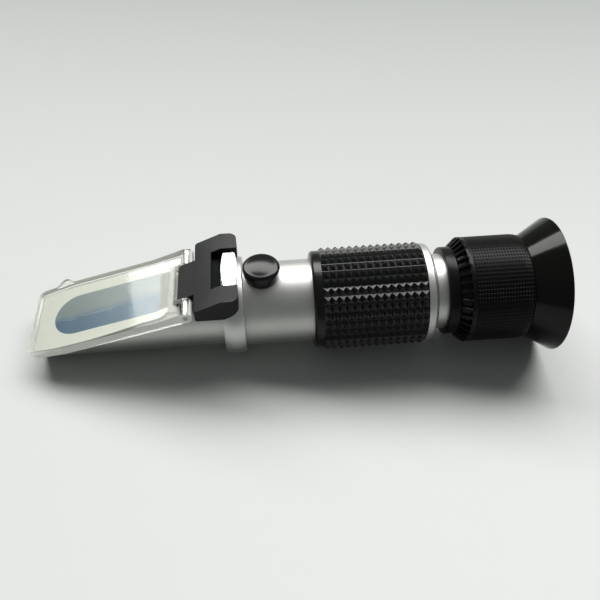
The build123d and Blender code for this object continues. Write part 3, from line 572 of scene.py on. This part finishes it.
mainTube = {
    "corners": [(-12.45, 11.16), (-12.45, 12.36), (44.2, 12.36), (44.2, 11.16)],
    "radii": 0.15,
    "rides": ("root", "satin_metal", "satinMetal", "main_tube"),
}
endRing = {
    "corners": [
        (43.0, 12.41),
        (43.0, 14.9),
        (45.1, 14.75),
        (45.9, 12.9),
        (45.9, 11.4),
        (44.25, 11.4),
        (44.25, 12.41),
    ],
    "radii": [0.05, 0.15, 0.9, 0.4, 0.1, 0.05, 0.05],
    "steps": 8,
    "rides": ("root", "bright_metal", "satinMetal", "end_ring"),
}
eyepieceTube = {
    "corners": [(36.0, 10.2), (36.0, 11.11), (44.25, 11.11), (44.25, 11.35), (62.5, 11.35), (62.5, 10.2)],
    "radii": [0.1, 0.1, 0.02, 0.02, 0.15, 0.15],
    "rides": ("root", "satin_metal", "satinMetal", "eyepiece_tube"),
}
flaredEyecup = {
    "corners": [
        (70.4, 11.6),
        (70.4, 12.68),
        (73.05, 12.68),
        (73.05, 14.25),
        (73.7, 14.25),
        (73.7, 14.8),
        (83.0, 20.6),
        (82.5, 19.1),
        (74.9, 13.5),
        (74.0, 11.6),
    ],
    "radii": [0.1, 0.1, 0.05, 0.05, 0.05, 0.25, 0.42, 0.5, 1.0, 0.5],
    "steps": 9,
    "sides": 300,
    "rides": ("focus", "black_rubber", "eyecupRubber", "eyecup"),
}


def makeTurned(name, t):
    # A profile given by its corners (station, radius) and the radius of each corner, turned round the axis.
    profile = roundedCorners(t["corners"], t["radii"], t.get("steps", 6))
    place(turned(name, profile, t.get("sides", 240)), *t["rides"])


crownedRing = {
    "front": -16.2,
    "rear": -10.1,
    "bore": 12.41,
    "shoulder": 14.15,
    "crown": 14.7,
    "edge": 0.3,
    "boreEdge": 0.1,
    "steps": 25,
}


def makeCrownedRing(c):
    # The outside follows shoulder + (crown - shoulder) * (1 - t * t), with t from -1 at the front to 1 at
    # the rear.
    t = np.linspace(-1, 1, c["steps"])
    middle, half = (c["front"] + c["rear"]) / 2, (c["rear"] - c["front"]) / 2
    outside = np.stack([middle + half * t, c["shoulder"] + (c["crown"] - c["shoulder"]) * (1 - t * t)], -1)
    corners = np.concatenate([[(c["front"], c["bore"])], outside, [(c["rear"], c["bore"])]])
    radii = np.zeros(len(corners))
    radii[[0, -1]] = c["boreEdge"]
    radii[[1, -2]] = c["edge"]
    ring = turned("crownedRing", roundedCorners(corners, radii))
    place(ring, "root", "bright_metal", "brightMetal", "coupling_ring")


couplingBoss = {
    "front": -16.15,
    "rear": -11.2,
    "halfWidth": 6.9,
    "inset": 0.75,
    "corner": 0.5,
    "foot": 12.6,
    "top": 15.5,
    "edge": 0.35,
    "flatRing": 1.2,
}


def makeCouplingBoss(b):
    # The boss on the ring: its plan has bowed ends, x = end + inset * (y / halfWidth)^2, and its upright wall
    # bends into the flat top along a quarter circle, drawing the plan in towards its middle.
    endSteps, cornerSteps, wallSteps = 13, 5, 7
    y = np.linspace(-1, 1, endSteps)
    front = np.stack([b["front"] + b["inset"] * y**2, y * b["halfWidth"]], -1)
    rear = np.stack([b["rear"] - b["inset"] * y**2, y * b["halfWidth"]], -1)[::-1]
    isCorner = np.arange(2 * endSteps) % endSteps % (endSteps - 1) == 0
    plan = roundedCorners(np.concatenate([front, rear]), np.where(isCorner, b["corner"], 0), cornerSteps)
    centre = np.array([(b["front"] + b["rear"]) / 2, 0])
    halfSize = np.array([(b["rear"] - b["front"]) / 2, b["halfWidth"]])
    swing = np.linspace(0, np.pi / 2, wallSteps)
    drawnIn = np.concatenate([[0], b["edge"] * (1 - np.cos(swing)), [b["edge"] + b["flatRing"]]])
    height = np.concatenate([[b["foot"]], b["top"] - b["edge"] * (1 - np.sin(swing)), [b["top"]]])
    flat = centre + (plan - centre)[None] * (1 - drawnIn[:, None, None] / halfSize)
    rings = np.concatenate([flat, np.broadcast_to(height[:, None, None], flat.shape[:2] + (1,))], -1)
    piece = closedStack("couplingBoss", rings, (centre[0], 0, b["foot"]), (centre[0], 0, b["top"]))
    place(piece, "root", "bright_metal", "brightMetal")


wiperRing = {"station": 46.2, "radius": 11.63, "cord": 0.28, "sides": 20}


def makeWiperRing(w):
    # A round cord: station + cord * cos(swing), radius + cord * sin(swing), turned round the axis.
    swing = np.arange(w["sides"]) * 2 * np.pi / w["sides"]
    cord = np.stack([w["station"] + w["cord"] * np.cos(swing), w["radius"] + w["cord"] * np.sin(swing)], -1)
    place(turned("wiperRing", cord), "root", "black_rubber", "sealRubber", "wiper_ring")


grip = {
    "front": 10.0,
    "rear": 43.0,
    "bore": 12.41,
    "boreEdge": 0.2,
    "band": 14.6,
    "round": 2.1,
    "patternFront": 12.8,
    "land": 0.02,
    "rearStep": 0.05,
    "along": 14,
    "around": 36,
    "foot": 14.62,
    "tip": 15.42,
    "groove": 0.035,
    "blunt": 0.94,
}


def pyramidField(a, b, groove, blunt):
    # Height of a field of pyramids, 0 to 1: a and b count pyramids along and round. Inside each one the
    # height falls evenly from its tip to its foot, by the larger of the two distances from its middle. The
    # grooves along the tube have a narrow flat floor, and the tips are a little blunt.
    alongFall = 1 - 2 * np.abs(a % 1 - 0.5)
    roundFall = (0.5 - groove - np.abs(b % 1 - 0.5)) / (0.5 - groove)
    return np.clip(np.minimum(alongFall, roundFall), 0, blunt)


def makeGrip(g):
    # Radius = foot + (tip - foot) * height of the field, on a grid with lines on each pyramid's foot and tip,
    # and on the edges of the grooves. Each quad of a pyramid is cut in two along the pyramid's own edge.
    tipCut = 0.5 * g["blunt"]
    acrossTip = (0.5 - g["groove"]) * g["blunt"] + g["groove"]
    alongCuts = [0, tipCut, 1 - tipCut]
    roundCuts = [0, g["groove"], acrossTip, 1 - acrossTip, 1 - g["groove"]]
    a = np.append((np.arange(g["along"])[:, None] + alongCuts).ravel(), g["along"])
    b = (np.arange(g["around"])[:, None] + roundCuts).ravel()
    height = pyramidField(a[:, None], b[None], g["groove"], g["blunt"])
    x = g["patternFront"] + (g["rear"] - g["land"] - g["patternFront"]) * a / g["along"]
    radius = g["foot"] + (g["tip"] - g["foot"]) * height
    edge = g["patternFront"] - g["land"]
    band = [(edge, g["bore"]), (g["front"], g["bore"]), (g["front"], g["band"]), (edge, g["band"])]
    lead = roundedCorners(band, [0, g["boreEdge"], g["round"], 0], 9)
    tail = np.array([(g["rear"], g["foot"] - g["rearStep"]), (g["rear"], g["bore"])])
    stations = np.concatenate([lead[:, 0], x, tail[:, 0]])
    radii = np.concatenate([np.repeat(lead[:, 1:], len(b), 1), radius, np.repeat(tail[:, 1:], len(b), 1)])
    points = aroundAxis(stations, radii, b / g["around"] * 2 * np.pi)
    quads = gridFaces(len(stations), len(b), True, True)
    row, column = quads[:, 0] // len(b) - len(lead), quads[:, 0] % len(b)
    inPattern = (row >= 0) & (row < len(a) - 1)
    pastTip = row % len(alongCuts) == alongCuts.index(1 - tipCut)
    besideTip = column % len(roundCuts) == roundCuts.index(1 - acrossTip)
    oneWay, otherWay = quads[:, [0, 1, 2, 0, 2, 3]], quads[:, [1, 2, 3, 1, 3, 0]]
    halves = np.where((pastTip ^ besideTip)[:, None], otherWay, oneWay)
    piece = putMesh("gripSleeve", points, quads[~inPattern], halves[inPattern].reshape(-1, 3), sharp=20)
    place(piece, "root", "black_rubber", "gripRubber", "grip_sleeve")


focusRing = {
    "teeth": 36,
    "gap": 1.6,
    "gapRadius": 14.5,
    "edge": 0.1,
    "shoulder": 0.85,
    "outside": [  # station, radius on a tooth, radius in a gap
        (49.5, 12.95, 12.95),
        (49.6, 13.18, 13.18),
        (49.85, 13.3, 13.3),
        (52.4, 13.3, 13.3),
        (52.5, 13.22, 13.22),
        (52.52, 13.45, 13.3),
        (52.62, 13.58, 13.25),
        (53.0, 13.95, 13.2),
        (53.6, 14.55, 13.55),
        (54.3, 15.2, 14.1),
        (55.0, 15.85, 14.5),
        (55.12, 15.95, 14.7),
        (55.2, 16.0, 15.9),
        (55.4, 16.0, 16.0),
        (56.25, 16.0, 16.0),
        (56.38, 15.93, 15.93),
        (56.4, 15.8, 15.8),
        (56.4, 14.3, 14.3),
        (73.0, 14.3, 14.3),
        (73.0, 12.7, 12.7),
        (66.9, 12.7, 12.7),
        (66.9, 10.4, 10.4),
        (65.5, 10.4, 10.4),
        (65.5, 11.42, 11.42),
        (49.5, 11.42, 11.42),
    ],
}


def makeFocusRing(f):
    # A profile whose radius switches between tooth and gap round the axis:
    # radius = gap + (tooth - gap) * rise, where rise goes from 0 to 1 over the edge beside each gap.
    toothSteps = 4
    x, tooth, gap = np.array(f["outside"]).T
    halfGap = f["gap"] / 2 / f["gapRadius"]
    edge = f["edge"] / f["gapRadius"]
    pitch = 2 * np.pi / f["teeth"]
    start, flatStart = halfGap + edge, halfGap + edge * 2
    end, flatEnd = pitch - halfGap - edge, pitch - halfGap - edge * 2
    top = np.linspace(flatStart, flatEnd, toothSteps)
    within = np.concatenate([[-halfGap, 0, halfGap, start], top, [end]])
    angle = (np.arange(f["teeth"])[:, None] * pitch + within).ravel()
    turns = [-halfGap, halfGap, start, flatStart, flatEnd, end]
    rise = np.tile(np.interp(within, turns, [0, 0, f["shoulder"], 1, 1, f["shoulder"]]), f["teeth"])
    points = aroundAxis(x, gap[:, None] + (tooth - gap)[:, None] * rise, angle)
    piece = putMesh("focusRing", points, gridFaces(len(x), len(angle), True, True), sharp=32)
    place(piece, "focus", "focus_black", "focusBlack", "focus_ring")


focusSleeve = {
    "front": 56.45,
    "rear": 73.7,
    "bore": 14.32,
    "foot": 15.72,
    "stud": 0.2,
    "cuts": [0.0, 0.18, 0.36, 0.64, 0.82],  # lines across each stud's pitch, as parts of it
    "heights": [0.0, 0.0, 1.0, 1.0, 0.0],
    "along": 20,
    "around": 84,
    "frontLand": 0.25,
    "frontStep": 0.1,
    "roundFrom": 70.6,
    "roundness": 0.97,
    "rearRadius": 14.85,
    "rearLand": 0.1,
    "rearStep": 0.15,
}


def makeFocusSleeve(s):
    # Rows of small flat-topped studs, radius = foot + stud * (profile along) * (profile round), on a sleeve
    # whose rear bends in along a quarter ellipse.
    a = np.append((np.arange(s["along"])[:, None] + s["cuts"]).ravel(), s["along"])
    studAlong = np.append(np.tile(s["heights"], s["along"]), 0)
    b = (np.arange(s["around"])[:, None] + s["cuts"]).ravel()
    studRound = np.tile(s["heights"], s["around"])
    front = s["front"] + s["frontLand"]
    x = front + (s["rear"] - s["rearLand"] - front) * a / s["along"]
    bend = np.clip((x - s["roundFrom"]) / (s["rear"] - s["roundFrom"]), 0, 1)
    foot = s["foot"] - (s["foot"] - s["rearRadius"]) * (1 - np.sqrt(1 - s["roundness"] * bend**2))
    radius = foot[:, None] + s["stud"] * studAlong[:, None] * studRound[None]
    rearEnd = [(s["rear"], s["rearRadius"] - s["rearStep"]), (s["rear"], s["bore"])]
    frontEnd = [(s["front"], s["bore"]), (s["front"], s["foot"] - s["frontStep"])]
    ends = np.array(rearEnd + frontEnd)
    stations = np.concatenate([x, ends[:, 0]])
    radii = np.concatenate([radius, np.repeat(ends[:, 1:], len(b), 1)])
    points = aroundAxis(stations, radii, b / s["around"] * 2 * np.pi)
    piece = putMesh("focusSleeve", points, gridFaces(len(stations), len(b), True, True), sharp=28)
    place(piece, "focus", "black_rubber", "sleeveRubber", "focus_sleeve")


calibrationCap = {
    "x": -4.5,
    "radius": 5.45,
    "waist": 5.05,
    "top": 16.5,
    "edge": 15.9,
    "shoulder": 14.9,
    "flat": 4.3,
    "saddle": 12.51,
    "footEdge": 0.12,
    "footRise": 0.15,
    "cavity": 3.28,
    "mouthEdge": 0.1,
    "ceiling": 14.9,
    "sides": 128,
    "steps": 9,
}


def makeCap(c):
    # Turned about its own upright axis: a shallow dome, a rounded shoulder, a side wall whose foot follows
    # the tube, height = sqrt(saddle^2 - y^2), and a hollow inside that fits over the bush.
    dome = np.linspace(0, 1, c["steps"])[1:]
    swing = np.linspace(0, np.pi / 2, c["steps"])[1:]
    foot = np.array(
        [
            (c["waist"], c["footRise"]),
            (c["waist"] - c["footEdge"], 0),
            (c["cavity"] + c["mouthEdge"], 0),
            (c["cavity"], c["mouthEdge"]),
        ]
    )
    domeHeight = c["top"] - (c["top"] - c["edge"]) * dome**2
    shoulderRadius = c["flat"] + (c["radius"] - c["flat"]) * np.sin(swing)
    shoulderHeight = c["shoulder"] + (c["edge"] - c["shoulder"]) * np.cos(swing)
    r = np.concatenate([dome * c["flat"], shoulderRadius, foot[:, 0], [c["cavity"]]])
    z = np.concatenate([domeHeight, shoulderHeight, foot[:, 1], [c["ceiling"]]])
    angle = np.arange(c["sides"]) * 2 * np.pi / c["sides"]
    y = r[:, None] * np.sin(angle)
    onTube = np.zeros(len(r), bool)
    onTube[-1 - len(foot) : -1] = True
    height = np.where(onTube[:, None], np.sqrt(c["saddle"] ** 2 - y**2) + z[:, None], z[:, None])
    rings = np.stack([c["x"] + r[:, None] * np.cos(angle), y, height], -1)
    piece = closedStack("calibrationCap", rings, (c["x"], 0, c["top"]), (c["x"], 0, c["ceiling"]))
    place(piece, "cap", "black_rubber", "capRubber", "calibration_cap")


makeTurned("mainTube", mainTube)
makeCrownedRing(crownedRing)
makeCouplingBoss(couplingBoss)
makeTurned("endRing", endRing)
makeTurned("eyepieceTube", eyepieceTube)
makeWiperRing(wiperRing)
print("metal pieces made")
makeGrip(grip)
makeFocusRing(focusRing)
makeFocusSleeve(focusSleeve)
makeTurned("flaredEyecup", flaredEyecup)
makeCap(calibrationCap)
print("rubber pieces made")

# Copies of the frame's own meshes: the node, the bevel's width and segments, then body, slot and finish
roundedPieces = {
    "hingeBracket": ("hinge_bracket", 0.35, 3, "root", "black_bracket", "blackBracket"),
    "prismBox": ("prism_box", 0.12, 2, "root", "satin_metal", "boxMetal"),
    "prismBed": ("prism_bed", 0.15, 2, "root", "cream_bed", "creamBed"),
    "coverPlate": ("daylight_plate", 0.25, 3, "cover", "clear_cover", "clearCover"),
    "measuringPrism": ("main_prism", 0.1, 2, "root", "prism_glass", "prismGlass"),
}
copies = {}
for name, (node, width, segments, body, slot, finish) in roundedPieces.items():
    copies[name] = place(roundedCopy(name, node, width, segments), body, slot, finish, node)

coverWalls = {"slope": 15.5, "limit": 0.6, "finish": "coverEdge"}


def frostWalls(piece, c):
    # The plate's walls look frosted: the faces where |normal . upright of the plate| is under the limit.
    mesh = piece.data
    mesh.materials.append(finishes[c["finish"]])
    normals = np.empty(len(mesh.polygons) * 3, np.float32)
    mesh.polygons.foreach_get("normal", normals)
    lean = math.radians(c["slope"])
    upright = np.abs(normals.reshape(-1, 3) @ np.array([-math.sin(lean), 0, math.cos(lean)]))
    mesh.polygons.foreach_set("material_index", (upright < c["limit"]).astype(np.int32))


frostWalls(copies["coverPlate"], coverWalls)

# The frame's own pieces that stay as they are, by the finish that they take
keptPieces = {
    "sealRubber": ["prism_seal"],
    "steel": [
        "hinge_pin",
        "bracket_screws",
        "calibration_screw",
        "screw_clip",
        "strip_screws",
        "key_screw",
        "bimetal_strip",
    ],
    "brass": ["calibration_bush", "carrier_guide", "objective_carrier"],
    "lensGlass": ["objective_lens", "reticle", "field_lens", "eye_lens"],
    "blackMetal": [
        "field_stop",
        "objective_cell",
        "objective_ring",
        "reticle_mount",
        "reticle_ring",
        "ocular_barrel",
        "lens_spacer",
        "eye_lens_ring",
        "ocular_retainer",
    ],
}
for finish, names in keptPieces.items():
    for name in names:
        nodes[name].data.materials.clear()
        nodes[name].data.materials.append(finishes[finish])
print("inner pieces finished")

table = {"rimFoot": (83.0, -20.6), "pitch": 3.448, "reach": 2500}
paper = {
    "colour": (0.485, 0.495, 0.485),
    "roughness": 0.6,
    "marks": 0.05,
    "grainScale": 900,
    "bump": 0.02,
    "tint": 0.01,
}
# Painted light falloff: the paper's tone darkens towards the far side, standing in for light that falls off
# there
paperLightFalloff = {"colour": (0.215, 0.225, 0.218, 1), "nearest": -100, "farthest": 250}


def paperTop(p, falloff):
    # Matt paper with painted light falloff, a little lighter towards the near side and darker towards the far
    # side:
    # tone = mix(near, far, (y - nearest) / (farthest - nearest)).
    finish = newFinish("tableFinish", **p)
    tree = finish.node_tree
    across = objectPlace(tree)[1][1]
    nearest, farthest = falloff["nearest"] * mm, falloff["farthest"] * mm
    away = addNode(tree, "ShaderNodeMapRange", _0=across, From_Min=nearest, From_Max=farthest).outputs[0]
    # The painted light falloff laid over the paper's tone
    tinted(tree, away, falloff["colour"])
    return finish


def makeTable(t, finish):
    # A flat top through the eyecup's rim, tilted against the optical axis:
    # z = foot + (station - x) * tan(pitch).
    corner = np.array([(-1, -1), (1, -1), (1, 1), (-1, 1)]) * t["reach"]
    x, y = corner.T
    z = t["rimFoot"][1] + (t["rimFoot"][0] - x) * math.tan(math.radians(t["pitch"]))
    mesh = bpy.data.meshes.new("tableTop")
    mesh.from_pydata((np.stack([x, y, z], -1) * mm).tolist(), [], [(0, 1, 2, 3)])
    top = bpy.data.objects.new("tableTop", mesh)
    bpy.context.scene.collection.objects.link(top)
    top.data.materials.append(finish)


makeTable(table, paperTop(paper, paperLightFalloff))

# Lights and camera are in metres and degrees.
window = {
    "azimuth": 15.0,
    "elevation": 54.0,
    "distance": 1.2,
    "width": 2.2,
    "height": 0.60,
    "radiance": 10.0,
    "colour": (1.0, 1.0, 0.985),
}


def makeWindow(w):
    # A wide soft window behind the object, turned a little towards the eyecup.
    turn, lift = math.radians(w["azimuth"]), math.radians(w["elevation"])
    aim = Vector((math.sin(turn) * math.cos(lift), math.cos(turn) * math.cos(lift), math.sin(lift)))
    light = bpy.data.lights.new("window", "AREA")
    light.shape = "RECTANGLE"
    light.size, light.size_y = w["width"], w["height"]
    light.energy = w["radiance"] * math.pi * w["width"] * w["height"]
    light.color = w["colour"]
    lamp = bpy.data.objects.new("window", light)
    lamp.location = aim * w["distance"]
    lamp.rotation_euler = aim.to_track_quat("Z", "Y").to_euler()
    bpy.context.scene.collection.objects.link(lamp)


room = {"colour": (0.95, 1.0, 0.98, 1), "light": 0.2, "wall": 0.45}


def makeRoom(r):
    # The room is dim, and a pale wall stands behind the table where the camera looks past its edge.
    world = bpy.data.worlds.new("room")
    bpy.context.scene.world = world
    world.use_nodes = True
    tree = world.node_tree
    sky = tree.nodes["Background"]
    sky.inputs["Color"].default_value = r["colour"]
    seen = addNode(tree, "ShaderNodeLightPath").outputs["Is Camera Ray"]
    tree.links.new(calc(tree, "MULTIPLY_ADD", seen, r["wall"], r["light"]), sky.inputs["Strength"])


view = {
    "sensor": 36,
    "lens": 42,
    "clip": 0.01,
    "stand": (-0.00319, -0.14075, 0.15867),
    "right": (0.9967, -0.0808, -0.0102),
    "up": (0.0672, 0.7444, 0.6644),
    "back": (-0.0461, -0.6629, 0.7473),
}


def makeCamera(v):
    # The camera's place and its three axes, as worked out from the photo.
    camera = bpy.data.objects.new("camera", bpy.data.cameras.new("camera"))
    camera.data.sensor_width = v["sensor"]
    camera.data.lens = v["lens"]
    camera.data.clip_start = v["clip"]
    axes = Matrix((v["right"], v["up"], v["back"])).transposed()
    camera.matrix_world = Matrix.Translation(v["stand"]) @ axes.to_4x4()
    bpy.context.scene.collection.objects.link(camera)
    bpy.context.scene.camera = camera
    bpy.context.scene.view_settings.view_transform = "Standard"


makeWindow(window)
makeRoom(room)
makeCamera(view)

print("table, light and camera set")
